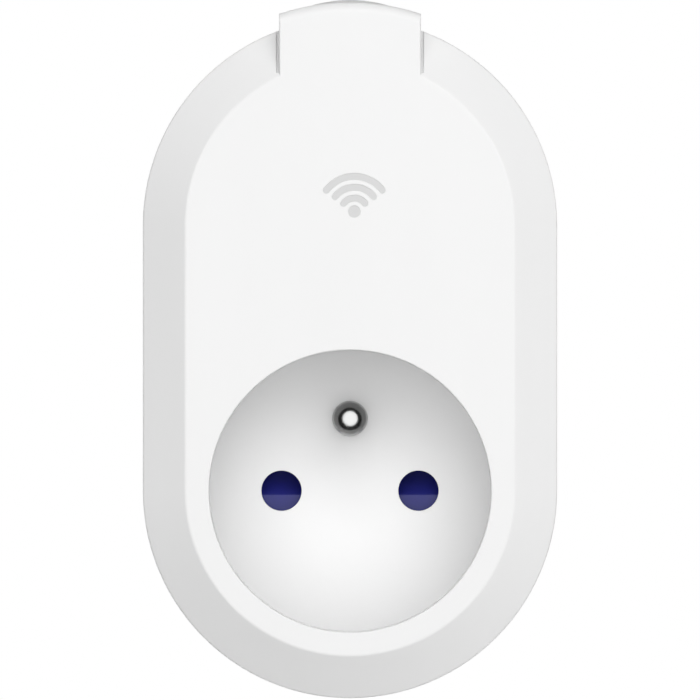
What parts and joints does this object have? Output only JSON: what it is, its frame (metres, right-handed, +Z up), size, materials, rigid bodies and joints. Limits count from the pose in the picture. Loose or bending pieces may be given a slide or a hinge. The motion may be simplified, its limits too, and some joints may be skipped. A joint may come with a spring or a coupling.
{
  "type": "smart plug",
  "caption": "Switched plug-in adapter with a round recessed outlet, an earth pin, a top push button and a grooved round plug behind.",
  "frame": {"origin": "centre of the plug's round end face, midway between the two plug pins", "axes": "+Y out of the plug's end face into the wall, +Z up, +X to the right seen from the front; the front face looks along -Y"},
  "size_m": [0.0574, 0.0705, 0.0967],
  "materials": {
    "white_shell": "satin moulded polycarbonate",
    "white_button": "satin moulded plastic",
    "light_guide": "milky diffusing polycarbonate",
    "shutter_blue": "satin dark blue plastic",
    "insulator": "matte off-white insulating plastic",
    "black_plastic": "matte black plastic",
    "nickel_plate": "bright nickel plate",
    "contact_brass": "rolled brass strip",
    "clip_steel": "rolled nickel-plated strip",
    "screw_steel": "zinc-plated",
    "spring_steel": "drawn wire",
    "magnet_steel": "nickel-plated soft iron",
    "tinned_copper": "tinned wire",
    "coil_copper": "enamelled copper wire under tape",
    "circuit_board": "solder-masked glass laminate",
    "module_board": "solder-masked glass laminate",
    "shield_tin": "tin-plated sheet",
    "relay_blue": "glossy moulded cover",
    "can_sleeve": "shrink sleeve on an aluminium can",
    "film_yellow": "potted plastic box",
    "disc_blue": "dipped lacquer",
    "fuse_sleeve": "matte resistor body",
    "led_body": "clear moulded lens on white body",
    "lead_brown": "brown insulation",
    "lead_black": "black insulation",
    "lead_blue": "blue insulation"
  },
  "bodies": {
    "housing": {"front_shell": "white_shell", "rear_shell": "white_shell", "plug_boss": "white_shell", "housing_screws": "screw_steel", "icon_light_guide": "light_guide", "shutter_spring": "spring_steel", "contact_block": "insulator", "contact_cover": "insulator", "contact_block_screws": "screw_steel", "line_outlet_contact": "contact_brass", "neutral_outlet_contact": "contact_brass", "outlet_earth_pin": "nickel_plate", "earth_bracket": "clip_steel", "plug_earth_sleeve": "nickel_plate", "line_plug_pin": "nickel_plate", "neutral_plug_pin": "nickel_plate", "pin_retainer": "black_plastic", "retainer_screws": "screw_steel", "main_board": "circuit_board", "board_screws": "screw_steel", "relay_base": "black_plastic", "relay_case": "relay_blue", "relay_yoke": "magnet_steel", "relay_coil": "coil_copper", "relay_fixed_contact": "contact_brass", "relay_terminals": "tinned_copper", "bulk_capacitors": "can_sleeve", "filter_capacitor": "film_yellow", "varistor": "disc_blue", "filter_inductor": "coil_copper", "fuse_resistor": "fuse_sleeve", "bridge_rectifier": "black_plastic", "converter_chip": "black_plastic", "output_capacitor": "can_sleeve", "shunt_resistor": "black_plastic", "wireless_board": "module_board", "wireless_shield": "shield_tin", "status_led": "led_body", "tact_switch_body": "black_plastic", "tact_switch_bracket": "shield_tin", "line_in_lead": "lead_brown", "line_out_lead": "lead_black", "neutral_lead": "lead_blue"},
    "button": {"power_button": "white_button"},
    "switch_plunger": {"tact_switch_plunger": "black_plastic"},
    "shutter_slider": {"shutter": "shutter_blue"},
    "relay_arm": {"relay_armature": "magnet_steel"}
  },
  "joints": [
    {"name": "button_press", "type": "slide", "parent": "housing", "child": "button", "axis": [0, 0, -1], "range_m": [0, 0.00035], "stiffness_N_per_m": 3000},
    {"name": "plunger_press", "type": "slide", "parent": "housing", "child": "switch_plunger", "axis": [0, 0, -1], "range_m": [0, 0.00035]},
    {"name": "shutter_slide", "type": "slide", "parent": "housing", "child": "shutter_slider", "axis": [0, 0, -1], "range_m": [0, 0.0059], "stiffness_N_per_m": 90, "springref_m": -0.003, "deforming": ["shutter_spring"]},
    {"name": "armature_tilt", "type": "hinge", "parent": "housing", "child": "relay_arm", "pos_m": [-0.0115, -0.0313, 0.0281], "axis": [1, 0, 0], "range_deg": [0, 3.6], "stiffness_Nm_per_rad": 0.05, "springref_deg": -1.15}
  ],
  "couplings": [
    {"joint": "plunger_press", "follows": "button_press", "ratio": 1}
  ]
}
